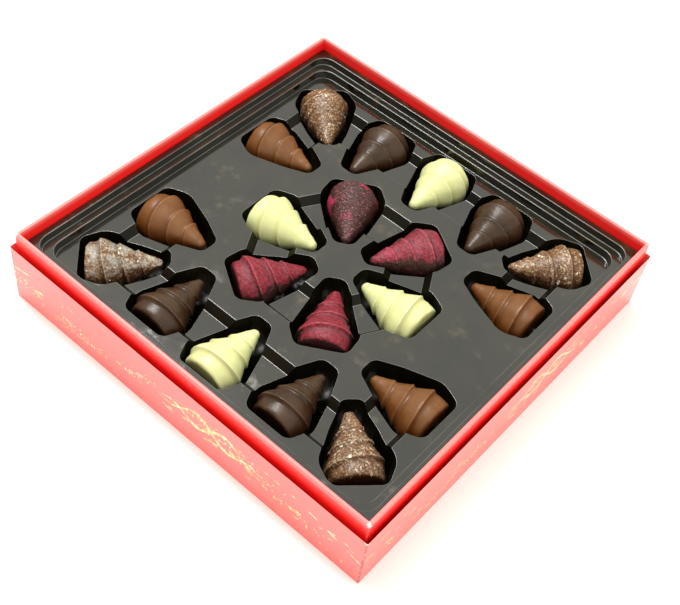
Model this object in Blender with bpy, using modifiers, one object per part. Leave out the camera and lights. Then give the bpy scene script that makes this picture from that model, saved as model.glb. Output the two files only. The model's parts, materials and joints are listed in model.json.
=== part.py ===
"""Open square gift box of twenty spiral chocolate pralines.

Metres, +Z up. The origin is on the floor under the middle of the box, and the sides of the box
run along X and Y. A wrapped board base holds a taller collar, the collar holds a thin moulded
tray, and each pocket of the tray holds one cone-shaped praline that lies with its tip inwards.
"""
import math
import random

import bmesh
import bpy
from mathutils import Matrix, Vector

# The box
BOX_SIDE = 0.215
BASE_HEIGHT = 0.0347
BOX_HEIGHT = 0.0432
BASE_BOARD = 0.0019
COLLAR_BOARD = 0.0018
BOARD_EDGE = 0.0004
GAP = 0.0003

# The tray's stepped rim: the half width of each opening at its foot, and the height of each level
TRAY_WALL = 0.0008
FLANGE_Z = 0.0365
TREAD_Z = 0.0325
PLATEAU_Z = 0.0280
TREAD_HALF = 0.0996
PLATEAU_HALF = 0.0955
RIM_CORNER = 0.0075
RIM_CORNER_STEPS = 4
DRAFT = math.tan(math.radians(4.0))

# One pocket: distance from its outer edge towards its tip, half width there, corner radius
POCKET_CORNER_STEPS = 1
SHARPEST_CORNER = 0.0005
POCKET_SIDE = (
    (0.0000, 0.0122, 0.0030),
    (0.0115, 0.0170, 0.0050),
    (0.0300, 0.0107, 0.0100),
    (0.0425, 0.0048, 0.0035),
)
SUMP_SIDE = (
    (0.0000, 0.0122, 0.0030),
    (0.0115, 0.0170, 0.0050),
    (0.0275, 0.0116, 0.0020),
)
LEDGE_Z = 0.0125
SUMP_Z = 0.0063
HOLLOW_OVERLAP = 0.0030

# The lowered saddles that link neighbouring pockets
SADDLE_DEPTH = 0.0040
SADDLE_FLOOR_HALF = 0.0080
SADDLE_RAMP = 0.0035
SADDLE_Z = PLATEAU_Z - SADDLE_DEPTH

# Where the pockets are: rows along the sides, one in each corner, and a ring of six
ROW_EDGE = 0.0912
MIDDLE_EDGE = 0.0940
ROW_STEP = 0.0377
CORNER_EDGE = 0.1218
RING_EDGE = 0.0538
RING_ANGLE = math.radians(58.0)
ROW_SADDLE = 0.0724
ROW_SADDLE_HALF = 0.0105
CORNER_SADDLE_PLACE = 0.0550
CORNER_SADDLE_HALF = 0.0090
MIDDLE_SADDLE_PLACE = 0.0185
RING_SADDLE = 0.0330
RING_SADDLE_HALF = 0.0080

# One praline, along its axis from the flat end to the tip
PRALINE_LENGTH = 0.0350
PRALINE_INSET = 0.0036
END_RADIUS = 0.0121
BULGE_RADIUS = 0.0138
BULGE_AT = 0.0085
TIP_RADIUS = 0.0030
TIP_ROUND = 0.0035
TIP_CURVE = 0.85
CONE_FULLNESS = 0.0012
AXIS_Z = 0.0203
AXIS_RISE = math.radians(5.5)

# The spiral ridge: each whorl widens towards the flat end and stops in a step
WHORLS = 4.3
WHORL_START = 0.62
PITCH_SHRINK = 0.22
RIDGE_DEPTH = 0.0013
RIDGE_FADE_END = 0.0045
RIDGE_FADE = 0.0080
RIDGE_ROWS = ((0.0, 0.0), (0.50, 0.30), (0.88, 1.0), (1.0, 0.0))
ROD_RIDGE = 0.1
TURN_SEGMENTS = 13
ROD_SEAM = 1e-4
ROD_CUT_SEAM = 1e-3
ROLL = math.radians(20.0)

# How far each praline lies from its neighbour's pose and size
SLIDE = 0.0005
YAW = math.radians(2.0)
SIZE_SPREAD = 0.012
SEED = 7

KINDS = {
    "white": ((0.90, 0.86, 0.52), 0.35),
    "milk": ((0.33, 0.15, 0.06), 0.35),
    "dark": ((0.06, 0.030, 0.022), 0.30),
    "speckled": ((0.45, 0.33, 0.26), 0.65),
    "raspberry": ((0.40, 0.05, 0.12), 0.75),
}


def clear_scene():
    for obj in list(bpy.data.objects):
        bpy.data.objects.remove(obj, do_unlink=True)


def new_collection(name):
    collection = bpy.data.collections.new(name)
    bpy.context.scene.collection.children.link(collection)
    return collection


def material(name, colour, roughness):
    mat = bpy.data.materials.new(name)
    mat.use_nodes = True
    shader = mat.node_tree.nodes["Principled BSDF"]
    shader.inputs["Base Color"].default_value = (*colour, 1.0)
    shader.inputs["Roughness"].default_value = roughness
    shader.inputs["Metallic"].default_value = 0.0
    return mat


def add_object(name, bm, collection, mat=None):
    mesh = bpy.data.meshes.new(name)
    bm.to_mesh(mesh)
    bm.free()
    obj = bpy.data.objects.new(name, mesh)
    collection.objects.link(obj)
    if mat:
        mesh.materials.append(mat)
    return obj


def as_cutter(obj):
    obj.hide_render = True
    obj.display_type = "WIRE"
    return obj


def open_box(name, half, low, high, open_sides, thickness, collection, mat):
    """A box of board: an open surface, thickened inwards, with softened edges."""
    bm = bmesh.new()
    size = Matrix.Diagonal((2 * half, 2 * half, high - low, 1.0))
    place = Matrix.Translation((0.0, 0.0, (low + high) / 2))
    bmesh.ops.create_cube(bm, size=1.0, matrix=place @ size)
    bm.normal_update()
    gone = [face for face in bm.faces if round(face.normal.z) in open_sides]
    bmesh.ops.delete(bm, geom=gone, context="FACES")
    obj = add_object(name, bm, collection, mat)
    solidify = obj.modifiers.new("board", "SOLIDIFY")
    solidify.thickness = thickness
    solidify.offset = -1.0
    solidify.use_even_offset = True
    bevel = obj.modifiers.new("edges", "BEVEL")
    bevel.width = BOARD_EDGE
    bevel.segments = 1
    bevel.limit_method = "ANGLE"
    return obj


def rounded_outline(corners, inset, steps):
    """The outline through corners (x, y, radius), counter-clockwise, moved in by inset."""
    count = len(corners)
    moved = []
    for i in range(count):
        here = Vector(corners[i][:2])
        before = (here - Vector(corners[i - 1][:2])).normalized()
        after = (Vector(corners[(i + 1) % count][:2]) - here).normalized()
        inward = Vector((-before.y - after.y, before.x + after.x)).normalized()
        half_turn = math.sqrt(max((1.0 + before.dot(after)) / 2.0, 0.0))
        moved.append(here + inward * inset / half_turn)
    points = []
    for i in range(count):
        before = (moved[i] - moved[i - 1]).normalized()
        after = (moved[(i + 1) % count] - moved[i]).normalized()
        turn = before.angle(after)
        radius = max(corners[i][2] - inset, SHARPEST_CORNER)
        reach = radius * math.tan(turn / 2.0)
        start = moved[i] - before * reach
        centre = start + Vector((-before.y, before.x)) * radius
        for k in range(steps + 1):
            spin = Matrix.Rotation(turn * k / steps, 2)
            points.append(centre + spin @ (start - centre))
    return points


def loft(levels):
    """A closed body through like outlines, given as (points, z) from top to bottom."""
    bm = bmesh.new()
    loops = []
    for points, z in levels:
        loops.append([bm.verts.new((p.x, p.y, z)) for p in points])
    for upper, lower in zip(loops, loops[1:]):
        for i in range(len(upper)):
            j = (i + 1) % len(upper)
            bm.faces.new((upper[i], lower[i], lower[j], upper[j]))
    bm.faces.new(loops[0])
    bm.faces.new(list(reversed(loops[-1])))
    return bm


def recess(name, half, floor, grow, collection):
    """The space inside one step of the rim, wider by grow and lower by grow."""
    corners = [
        (-half, -half, RIM_CORNER),
        (half, -half, RIM_CORNER),
        (half, half, RIM_CORNER),
        (-half, half, RIM_CORNER),
    ]
    top = BOX_HEIGHT
    rise = top - floor
    levels = [
        (rounded_outline(corners, -grow - rise * DRAFT, RIM_CORNER_STEPS), top),
        (rounded_outline(corners, -grow, RIM_CORNER_STEPS), floor - grow),
    ]
    return as_cutter(add_object(name, loft(levels), collection))


def pocket_corners(side):
    """Both sides of a pocket, counter-clockwise, with X running from its outer edge to its tip."""
    right = [(along, -half, radius) for along, half, radius in side]
    left = [(along, half, radius) for along, half, radius in reversed(side)]
    return right + left


def pocket(name, place, grow, collection):
    """A pocket's two hollows: the full outline down to a ledge, and a sump under the wide end."""
    hollows = (
        ("well", POCKET_SIDE, FLANGE_Z, LEDGE_Z),
        ("sump", SUMP_SIDE, LEDGE_Z + HOLLOW_OVERLAP, SUMP_Z),
    )
    for label, side, high, low in hollows:
        corners = pocket_corners(side)
        inset_high = max(PLATEAU_Z - high, 0.0) * DRAFT
        inset_low = (PLATEAU_Z - low) * DRAFT
        levels = [
            (rounded_outline(corners, inset_high - grow, POCKET_CORNER_STEPS), high),
            (rounded_outline(corners, inset_low - grow, POCKET_CORNER_STEPS), low - grow),
        ]
        if label == "well":
            levels.insert(1, (rounded_outline(corners, -grow, POCKET_CORNER_STEPS), PLATEAU_Z))
        hollow = as_cutter(add_object(f"{name}_{label}", loft(levels), collection))
        hollow.matrix_world = place


def saddle(name, place, half_width, grow, collection):
    """A trough across the wall between two pockets, with a ramp at both ends."""
    rise = FLANGE_Z - SADDLE_Z
    ramp = SADDLE_RAMP / SADDLE_DEPTH * rise
    bm = bmesh.new()
    bmesh.ops.create_cube(bm, size=1.0)
    for vert in bm.verts:
        up = vert.co.z > 0
        along = SADDLE_FLOOR_HALF + grow + (ramp if up else 0.0)
        vert.co.x = math.copysign(along, vert.co.x)
        vert.co.y = math.copysign(half_width, vert.co.y)
        vert.co.z = FLANGE_Z if up else SADDLE_Z - grow
    trough = as_cutter(add_object(name, bm, collection))
    trough.matrix_world = place


def on_floor(x, y, heading):
    return Matrix.Translation((x, y, 0.0)) @ Matrix.Rotation(heading, 4, "Z")


def pocket_places():
    """Each pocket's kind of praline, and its frame: origin mid outer edge, X towards the tip."""
    places = []
    down = -math.pi / 2
    for side in (1, -1):
        for across in (-ROW_STEP, ROW_STEP):
            places.append(("dark", on_floor(across, side * ROW_EDGE, down * side)))
        places.append(("white", on_floor(0.0, side * MIDDLE_EDGE, down * side)))
        inward = 0.0 if side < 0 else math.pi
        for along in (-ROW_STEP, ROW_STEP):
            places.append(("milk", on_floor(side * ROW_EDGE, along, inward)))
    for quarter in range(4):
        angle = math.pi / 4 + quarter * math.pi / 2
        x, y = CORNER_EDGE * math.cos(angle), CORNER_EDGE * math.sin(angle)
        places.append(("speckled", on_floor(x, y, angle + math.pi)))
    for half_turn in (0.0, math.pi):
        for kind, turn in (("white", 0.0), ("raspberry", RING_ANGLE), ("raspberry", -RING_ANGLE)):
            angle = half_turn + turn
            x, y = RING_EDGE * math.cos(angle), RING_EDGE * math.sin(angle)
            places.append((kind, on_floor(x, y, angle + math.pi)))
    return places


def saddle_places():
    """Each saddle's frame, with X along the walls that it crosses, and its half width."""
    places = []
    quarter = math.pi / 2
    for side in (1, -1):
        for across in (-1, 1):
            middle = on_floor(across * MIDDLE_SADDLE_PLACE, side * ROW_SADDLE, quarter)
            places.append((middle, ROW_SADDLE_HALF))
            corner = on_floor(across * CORNER_SADDLE_PLACE, side * ROW_SADDLE, quarter)
            places.append((corner, CORNER_SADDLE_HALF))
            corner = on_floor(side * ROW_SADDLE, across * CORNER_SADDLE_PLACE, 0.0)
            places.append((corner, CORNER_SADDLE_HALF))
    narrow = RING_ANGLE / 2
    for angle in (narrow, quarter, math.pi - narrow, math.pi + narrow, -quarter, -narrow):
        x, y = RING_SADDLE * math.cos(angle), RING_SADDLE * math.sin(angle)
        places.append((on_floor(x, y, angle), RING_SADDLE_HALF))
    return places


def tray_hollows(label, grow, collection):
    recess(f"{label}_upper_step", TREAD_HALF, TREAD_Z, grow, collection)
    recess(f"{label}_lower_step", PLATEAU_HALF, PLATEAU_Z, grow, collection)
    for i, (_, place) in enumerate(pocket_places(), start=1):
        pocket(f"{label}_pocket_{i:02d}", place, grow, collection)
    for i, (place, half_width) in enumerate(saddle_places(), start=1):
        saddle(f"{label}_saddle_{i:02d}", place, half_width, grow, collection)


def block(name, half, low, high, collection, mat=None):
    bm = bmesh.new()
    size = Matrix.Diagonal((2 * half, 2 * half, high - low, 1.0))
    place = Matrix.Translation((0.0, 0.0, (low + high) / 2))
    bmesh.ops.create_cube(bm, size=1.0, matrix=place @ size)
    return add_object(name, bm, collection, mat)


def subtract(obj, collection):
    cut = obj.modifiers.new("hollows", "BOOLEAN")
    cut.operation = "DIFFERENCE"
    cut.operand_type = "COLLECTION"
    cut.collection = collection


def build_tray(parts, cutters, mat):
    """The tray is a block with all its hollows, less a core that has the same hollows grown."""
    half = BOX_SIDE / 2 - BASE_BOARD - COLLAR_BOARD - 2 * GAP
    foot = BASE_BOARD + GAP
    upper = new_collection("tray_upper_hollows")
    lower = new_collection("tray_core_hollows")
    tray_hollows("upper", 0.0, upper)
    tray_hollows("core", TRAY_WALL, lower)
    tray = block("tray", half, foot, FLANGE_Z, parts, mat)
    core = block("tray_core", half - TRAY_WALL, 0.0, FLANGE_Z - TRAY_WALL, cutters)
    as_cutter(core)
    subtract(core, lower)
    subtract(tray, upper)
    under = tray.modifiers.new("underside", "BOOLEAN")
    under.operation = "DIFFERENCE"
    under.object = core
    return tray


def praline_radius(along):
    """The smooth outline: a flat end, a low bulge, and a slightly full cone to a blunt tip."""
    if along < BULGE_AT:
        rest = 1.0 - along / BULGE_AT
        return BULGE_RADIUS - (BULGE_RADIUS - END_RADIUS) * rest ** 2
    rest = (along - BULGE_AT) / (PRALINE_LENGTH - BULGE_AT)
    cone = BULGE_RADIUS + (TIP_RADIUS - BULGE_RADIUS) * rest
    cone += CONE_FULLNESS * math.sin(math.pi * rest)
    into_tip = max(along - PRALINE_LENGTH + TIP_ROUND, 0.0) / TIP_ROUND
    return cone * math.sqrt(1.0 - TIP_CURVE * into_tip ** 2)


def ridge_depth(along):
    """The ridge is full depth on the body and fades out before the tip."""
    from_tip = PRALINE_LENGTH - along - RIDGE_FADE_END
    return RIDGE_DEPTH * min(max(from_tip / RIDGE_FADE, 0.0), 1.0)


def threaded_rod():
    """A rod of radius 1 with a ridge that climbs 1 in each turn, made by a Screw modifier."""
    profile = bpy.data.meshes.new("ridge_profile")
    points = [(1.0 - ROD_RIDGE * fall, 0.0, turn) for turn, fall in reversed(RIDGE_ROWS)]
    profile.from_pydata(points, [(i, i + 1) for i in range(len(points) - 1)], [])
    guide = bpy.data.objects.new("ridge_profile", profile)
    bpy.context.scene.collection.objects.link(guide)
    screw = guide.modifiers.new("thread", "SCREW")
    screw.steps = TURN_SEGMENTS
    screw.render_steps = TURN_SEGMENTS
    screw.screw_offset = 1.0
    screw.iterations = math.ceil(WHORLS + WHORL_START) + 1
    evaluated = guide.evaluated_get(bpy.context.evaluated_depsgraph_get())
    rod = bpy.data.meshes.new_from_object(evaluated)
    bpy.data.objects.remove(guide, do_unlink=True)
    bm = bmesh.new()
    bm.from_mesh(rod)
    bpy.data.meshes.remove(rod)
    bmesh.ops.remove_doubles(bm, verts=bm.verts, dist=ROD_SEAM)
    return bm


def praline_form():
    """The rod is cut to length, its ends are closed, and it is drawn out to a ridged cone."""
    bm = threaded_rod()
    first = 1.0 + WHORL_START
    for level, facing in ((first, -1.0), (first + WHORLS, 1.0)):
        bmesh.ops.bisect_plane(
            bm,
            geom=bm.verts[:] + bm.edges[:] + bm.faces[:],
            plane_co=(0, 0, level),
            plane_no=(0, 0, facing),
            clear_outer=True,
        )
    bmesh.ops.remove_doubles(bm, verts=bm.verts, dist=ROD_CUT_SEAM)
    rims = [edge for edge in bm.edges if edge.is_boundary]
    bmesh.ops.holes_fill(bm, edges=rims, sides=0)
    for vert in bm.verts:
        part = (vert.co.z - first) / WHORLS
        along = PRALINE_LENGTH * ((1.0 + PITCH_SHRINK) * part - PITCH_SHRINK * part ** 2)
        spoke = Vector((vert.co.x, vert.co.y))
        fall = (1.0 - spoke.length) / ROD_RIDGE
        spoke = spoke.normalized() * (praline_radius(along) - ridge_depth(along) * fall)
        vert.co = Vector((spoke.x, spoke.y, along))
    bmesh.ops.recalc_face_normals(bm, faces=bm.faces)
    mesh = bpy.data.meshes.new("praline")
    bm.to_mesh(mesh)
    bm.free()
    return mesh


def build_pralines(parts):
    """Twenty pralines from one mould, each laid in its pocket a little differently."""
    draw = random.Random(SEED)
    form = praline_form()
    meshes = {}
    for kind, look in KINDS.items():
        meshes[kind] = form.copy()
        meshes[kind].name = f"praline_{kind}"
        meshes[kind].materials.append(material(f"{kind}_chocolate", *look))
    bpy.data.meshes.remove(form)
    counts = dict.fromkeys(KINDS, 0)
    lie_down = Matrix.Rotation(math.pi / 2 - AXIS_RISE, 4, "Y")
    for kind, place in pocket_places():
        counts[kind] += 1
        obj = bpy.data.objects.new(f"praline_{kind}_{counts[kind]}", meshes[kind])
        parts.objects.link(obj)
        along = PRALINE_INSET + draw.uniform(-SLIDE, SLIDE)
        shift = Matrix.Translation((along, draw.uniform(-SLIDE, SLIDE), AXIS_Z))
        yaw = Matrix.Rotation(draw.uniform(-YAW, YAW), 4, "Z")
        roll = Matrix.Rotation(ROLL + draw.uniform(-YAW, YAW), 4, "Z")
        size = Matrix.Scale(1.0 + draw.uniform(-SIZE_SPREAD, SIZE_SPREAD), 4)
        obj.matrix_world = place @ shift @ yaw @ lie_down @ roll @ size


def build():
    clear_scene()
    parts = new_collection("praline_box")
    cutters = new_collection("cutters")
    wrap = material("red_wrap", (0.80, 0.06, 0.05), 0.35)
    collar_red = material("collar_red", (0.85, 0.02, 0.02), 0.35)
    plastic = material("brown_plastic", (0.03, 0.02, 0.015), 0.12)
    half = BOX_SIDE / 2
    open_box("box_base", half, 0.0, BASE_HEIGHT, (1,), BASE_BOARD, parts, wrap)
    collar_half = half - BASE_BOARD - GAP
    open_box(
        "box_collar", collar_half, BASE_BOARD + GAP, BOX_HEIGHT, (1, -1), COLLAR_BOARD, parts, collar_red
    )
    build_pralines(parts)
    build_tray(parts, cutters, plastic)


build()
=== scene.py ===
import json
import math
import random

import bmesh
import bpy
from mathutils import Matrix, Vector

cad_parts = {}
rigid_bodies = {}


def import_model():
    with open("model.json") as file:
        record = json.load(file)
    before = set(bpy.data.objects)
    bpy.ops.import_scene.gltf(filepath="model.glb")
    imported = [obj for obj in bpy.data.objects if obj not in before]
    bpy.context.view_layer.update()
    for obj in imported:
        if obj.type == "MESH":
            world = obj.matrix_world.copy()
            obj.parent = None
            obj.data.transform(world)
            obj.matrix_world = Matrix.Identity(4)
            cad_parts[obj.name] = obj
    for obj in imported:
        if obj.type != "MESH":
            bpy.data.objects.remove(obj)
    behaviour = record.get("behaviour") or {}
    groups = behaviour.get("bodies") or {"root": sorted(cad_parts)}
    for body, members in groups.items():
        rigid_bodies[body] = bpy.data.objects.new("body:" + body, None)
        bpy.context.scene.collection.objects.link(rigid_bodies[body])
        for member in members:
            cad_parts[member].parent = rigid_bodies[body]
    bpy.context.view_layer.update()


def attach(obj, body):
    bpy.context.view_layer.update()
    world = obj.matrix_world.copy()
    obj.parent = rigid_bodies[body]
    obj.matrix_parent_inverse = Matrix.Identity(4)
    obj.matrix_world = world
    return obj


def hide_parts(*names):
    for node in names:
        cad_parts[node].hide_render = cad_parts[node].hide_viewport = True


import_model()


# The base is a low tray of grey board, wrapped in smooth coral-red paper that is turned over its
# rim and into its corners. The corners are mitred, and the wrap is rubbed pale at their tips.
BOX_HALF = 0.1075
BASE_TOP = 0.0347
BASE_BOARD = 0.0019
PAPER_EDGE = 0.00055
PAPER_EDGE_STEPS = 3
PAPER_TURN = math.radians(30.0)
LEVEL = 0.9


def only(*pieces):
    """Select these pieces alone, the first one active."""
    bpy.ops.object.select_all(action="DESELECT")
    for piece in pieces:
        piece.select_set(True)
    bpy.context.view_layer.objects.active = pieces[0]


def shape_by(piece, kind):
    """Open a piece in edit mode with nothing picked. kind is VERT, EDGE or FACE."""
    only(piece)
    bpy.ops.object.mode_set(mode="EDIT")
    bpy.ops.mesh.select_mode(type=kind)
    bpy.ops.mesh.select_all(action="DESELECT")


def pick(kind, wanted):
    """Pick the points by place, the edges by middle and run, or the faces by middle and normal."""
    mesh = bmesh.from_edit_mesh(bpy.context.edit_object.data)
    bpy.ops.mesh.select_all(action="DESELECT")
    if kind == "VERT":
        for vert in mesh.verts:
            vert.select_set(wanted(vert.co))
    elif kind == "EDGE":
        for edge in mesh.edges:
            low, high = edge.verts
            edge.select_set(wanted((low.co + high.co) / 2, high.co - low.co))
    else:
        for face in mesh.faces:
            face.select_set(wanted(face.calc_center_median(), face.normal))
    mesh.select_flush_mode()
    bmesh.update_edit_mesh(bpy.context.edit_object.data)


def done_shaping():
    bpy.ops.object.mode_set(mode="OBJECT")


def new_cube(name, low, high):
    """A cube primitive between two corners, with its place in its mesh."""
    bpy.ops.object.select_all(action="DESELECT")
    low, high = Vector(low), Vector(high)
    bpy.ops.mesh.primitive_cube_add(size=1.0, location=(low + high) / 2, scale=high - low)
    piece = bpy.context.active_object
    piece.name = piece.data.name = name
    bpy.ops.object.transform_apply(location=True, rotation=True, scale=True)
    return piece


def finish_modifiers(piece):
    only(piece)
    for modifier in list(piece.modifiers):
        bpy.ops.object.modifier_apply(modifier=modifier.name)


def shade_with_flat_faces(piece):
    """Smooth shading, with normals that keep the flat faces flat."""
    bpy.ops.object.shade_smooth()
    piece.modifiers.new("flat_faces", "WEIGHTED_NORMAL").keep_sharp = True
    finish_modifiers(piece)


def round_paper_edges(piece):
    """Edges as round as paper leaves them where it is turned over board."""
    bevel = piece.modifiers.new("rounded_edges", "BEVEL")
    bevel.width = PAPER_EDGE
    bevel.segments = PAPER_EDGE_STEPS
    bevel.limit_method = "ANGLE"
    bevel.angle_limit = PAPER_TURN
    finish_modifiers(piece)
    shade_with_flat_faces(piece)


def new_material(name, roughness, **inputs):
    """A material with plain values on its shader's own sockets, and that shader."""
    mat = bpy.data.materials.new(name)
    mat.use_nodes = True
    shader = mat.node_tree.nodes["Principled BSDF"]
    shader.inputs["Roughness"].default_value = roughness
    for key, value in inputs.items():
        shader.inputs[key.replace("_", " ")].default_value = value
    return mat, shader


def node(tree, kind, **values):
    """Add a node. Values are set on its sockets by name, or on the node itself."""
    made = tree.nodes.new(kind)
    for key, value in values.items():
        if hasattr(made, key):
            setattr(made, key, value)
        else:
            made.inputs[key.replace("_", " ")].default_value = value
    return made


def give(tree, socket, value):
    """Link a socket to another one, or set it to a plain number or colour."""
    if isinstance(value, bpy.types.NodeSocket):
        tree.links.new(value, socket)
    elif isinstance(value, tuple):
        socket.default_value = (*value, 1.0)
    else:
        socket.default_value = value


def math_node(tree, operation, a, b=None, c=None, clamp=False):
    """One step of arithmetic. Each argument is a socket or a plain number."""
    made = tree.nodes.new("ShaderNodeMath")
    made.operation = operation
    made.use_clamp = clamp
    for socket, value in zip(made.inputs, (a, b, c)):
        if value is not None:
            give(tree, socket, value)
    return made.outputs[0]


def times(tree, mask, amount):
    return math_node(tree, "MULTIPLY", mask, amount)


def size_of(tree, value):
    return math_node(tree, "ABSOLUTE", value)


def ramp(tree, value, low, high):
    """0 at low, 1 at high, smooth between."""
    made = tree.nodes.new("ShaderNodeMapRange")
    made.interpolation_type = "SMOOTHSTEP"
    made.inputs["From Min"].default_value = low
    made.inputs["From Max"].default_value = high
    tree.links.new(value, made.inputs["Value"])
    return made.outputs["Result"]


# A Mix node has sockets for each kind of value. These are the ones that mix colours.
MIX_INPUTS, MIX_RESULT = (0, 6, 7), 2


def mix_colour(tree, amount, first, second):
    """Mix two colours. Each is a socket or a plain colour."""
    made = tree.nodes.new("ShaderNodeMix")
    made.data_type = "RGBA"
    for index, value in zip(MIX_INPUTS, (amount, first, second)):
        give(tree, made.inputs[index], value)
    return made.outputs[MIX_RESULT]


def tint(tree, colour, mask, amount, tone):
    """Lay a tone over a colour where the mask is, at most this strongly."""
    return mix_colour(tree, times(tree, mask, amount), colour, tone)


def noise(tree, place, scale, detail=3.0, roughness=0.5):
    """A drift of values round 0.5. The scale is a socket or a number per metre."""
    made = tree.nodes.new("ShaderNodeTexNoise")
    give(tree, made.inputs["Scale"], scale)
    made.inputs["Detail"].default_value = detail
    made.inputs["Roughness"].default_value = roughness
    tree.links.new(place, made.inputs["Vector"])
    return made.outputs["Fac"]


def spots(tree, place, scale, detail, roughness, low, high):
    """Noise cut into soft spots: 0 where it is under low, 1 where it is over high."""
    return ramp(tree, noise(tree, place, scale, detail, roughness), low, high)


def object_place(tree):
    """Where a point of the piece lies in the frame, in metres."""
    return node(tree, "ShaderNodeTexCoord").outputs["Object"]


def split_axes(tree, vector):
    axes = node(tree, "ShaderNodeSeparateXYZ")
    tree.links.new(vector, axes.inputs[0])
    return axes.outputs


def bump(tree, shader, height, strength, distance, under=None):
    """Relief on a shader, laid over the relief of an earlier bump if one is given."""
    made = tree.nodes.new("ShaderNodeBump")
    made.inputs["Strength"].default_value = strength
    made.inputs["Distance"].default_value = distance
    tree.links.new(height, made.inputs["Height"])
    if under is not None:
        tree.links.new(under, made.inputs["Normal"])
    tree.links.new(made.outputs["Normal"], shader.inputs["Normal"])
    return made.outputs["Normal"]


def new_group(name, inputs, outputs):
    """A shader node group. Its inputs are (name, type) or (name, type, value), its outputs names."""
    group = bpy.data.node_groups.new(name, "ShaderNodeTree")
    for label, kind, *value in inputs:
        socket = group.interface.new_socket(name=label, in_out="INPUT", socket_type=kind)
        if value:
            socket.default_value = value[0]
    for label in outputs:
        group.interface.new_socket(name=label, in_out="OUTPUT", socket_type="NodeSocketFloat")
    return group, group.nodes.new("NodeGroupInput").outputs, group.nodes.new("NodeGroupOutput").inputs


def use_group(tree, group, **values):
    """Place a group in a material, with its own values or sockets, and return its outputs."""
    made = tree.nodes.new("ShaderNodeGroup")
    made.node_tree = group
    for key, value in values.items():
        give(tree, made.inputs[key.replace("_", " ")], value)
    return made.outputs


def dress(piece, mat, slot, *nodes):
    """Give a finished piece its material, its body and the nodes that it stands for. The slot is not used."""
    piece.data.materials.clear()
    piece.data.materials.append(mat)
    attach(piece, "root")
    if nodes:
        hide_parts(*nodes)


base = new_cube("outer_base", (-BOX_HALF, -BOX_HALF, 0.0), (BOX_HALF, BOX_HALF, BASE_TOP))
shape_by(base, "FACE")
pick("FACE", lambda middle, normal: normal.z > LEVEL)
bpy.ops.mesh.inset(thickness=BASE_BOARD)
bpy.ops.transform.translate(value=(0.0, 0.0, BASE_BOARD - BASE_TOP))
done_shaping()
round_paper_edges(base)

# Worn board: Worn is 1 on the tips and fainter along the edges where the paper is turned over.
# Each pair is a distance from the edge in metres: where the wear starts, and where it is full.
FLOAT, VECTOR = "NodeSocketFloat", "NodeSocketVector"
TIP_WEAR, EDGE_WEAR, CREASE = (0.0036, 0.0026), (0.0011, 0.0004), (0.0014, 0.0005)
TIP_RAGGEDNESS = 0.004
EDGE_WEAR_SHARE = 0.45
worn_board, given, result = new_group(
    "worn_board", (("Place", VECTOR), ("Half", FLOAT, 0.1), ("Top", FLOAT, 0.03)),
    ("Worn", "Below top", "Crease"),
)
axes = split_axes(worn_board, given["Place"])
from_x = math_node(worn_board, "SUBTRACT", given["Half"], size_of(worn_board, axes["X"]))
from_y = math_node(worn_board, "SUBTRACT", given["Half"], size_of(worn_board, axes["Y"]))
from_top = math_node(worn_board, "SUBTRACT", given["Top"], axes["Z"])
upright = math_node(worn_board, "MAXIMUM", from_x, from_y)
tip = math_node(worn_board, "MAXIMUM", upright, from_top)
chips = noise(worn_board, given["Place"], 1400.0, 3.0, 0.6)
ragged_tip = math_node(worn_board, "ADD", tip, times(worn_board, chips, TIP_RAGGEDNESS))
tip_wear = ramp(worn_board, ragged_tip, *TIP_WEAR)
edge_wear = times(worn_board, ramp(worn_board, upright, *EDGE_WEAR), ramp(worn_board, chips, 0.52, 0.66))
worn = math_node(worn_board, "MAXIMUM", tip_wear, times(worn_board, edge_wear, EDGE_WEAR_SHARE))
worn_board.links.new(worn, result["Worn"])
worn_board.links.new(from_top, result["Below top"])
crease = times(worn_board, ramp(worn_board, upright, *CREASE), ramp(worn_board, chips, 0.66, 0.50))
worn_board.links.new(crease, result["Crease"])

# Wrapping paper: a slow drift of tone, and the fine tooth of its surface
wrap_paper, given, result = new_group(
    "wrap_paper", (("Place", VECTOR), ("Cloud scale", FLOAT, 15.0)), ("Cloud", "Tooth")
)
cloud = noise(wrap_paper, given["Place"], given["Cloud scale"], 2.0)
wrap_paper.links.new(ramp(wrap_paper, cloud, 0.3, 0.7), result["Cloud"])
wrap_paper.links.new(noise(wrap_paper, given["Place"], 900.0, 2.0), result["Tooth"])

CORAL, PALE_CORAL = (0.80, 0.112, 0.097), (0.84, 0.130, 0.114)
CORAL_RIM_HIGHLIGHT, CORAL_CREASE = (0.84, 0.150, 0.135), (0.30, 0.020, 0.016)
BARE_BOARD = (0.80, 0.70, 0.66)
CORAL_RIM_HIGHLIGHT_FADE = (0.0022, 0.0003)
coral_wrap, wrap_shader = new_material(
    "coral_wrap", 0.42, Specular_IOR_Level=0.50, Coat_Weight=0.35, Coat_Roughness=0.38
)
tree = coral_wrap.node_tree
place = object_place(tree)
paper = use_group(tree, wrap_paper, Place=place, Cloud_scale=14.0)
wear = use_group(tree, worn_board, Place=place, Half=BOX_HALF, Top=BASE_TOP)
coral = mix_colour(tree, paper["Cloud"], CORAL, PALE_CORAL)
# Painted highlight: the paper is paler towards the top edge of the rim
coral = mix_colour(tree, ramp(tree, wear["Below top"], *CORAL_RIM_HIGHLIGHT_FADE), coral, CORAL_RIM_HIGHLIGHT)
coral = tint(tree, coral, wear["Crease"], 0.8, CORAL_CREASE)
coral = mix_colour(tree, wear["Worn"], coral, BARE_BOARD)

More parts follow.
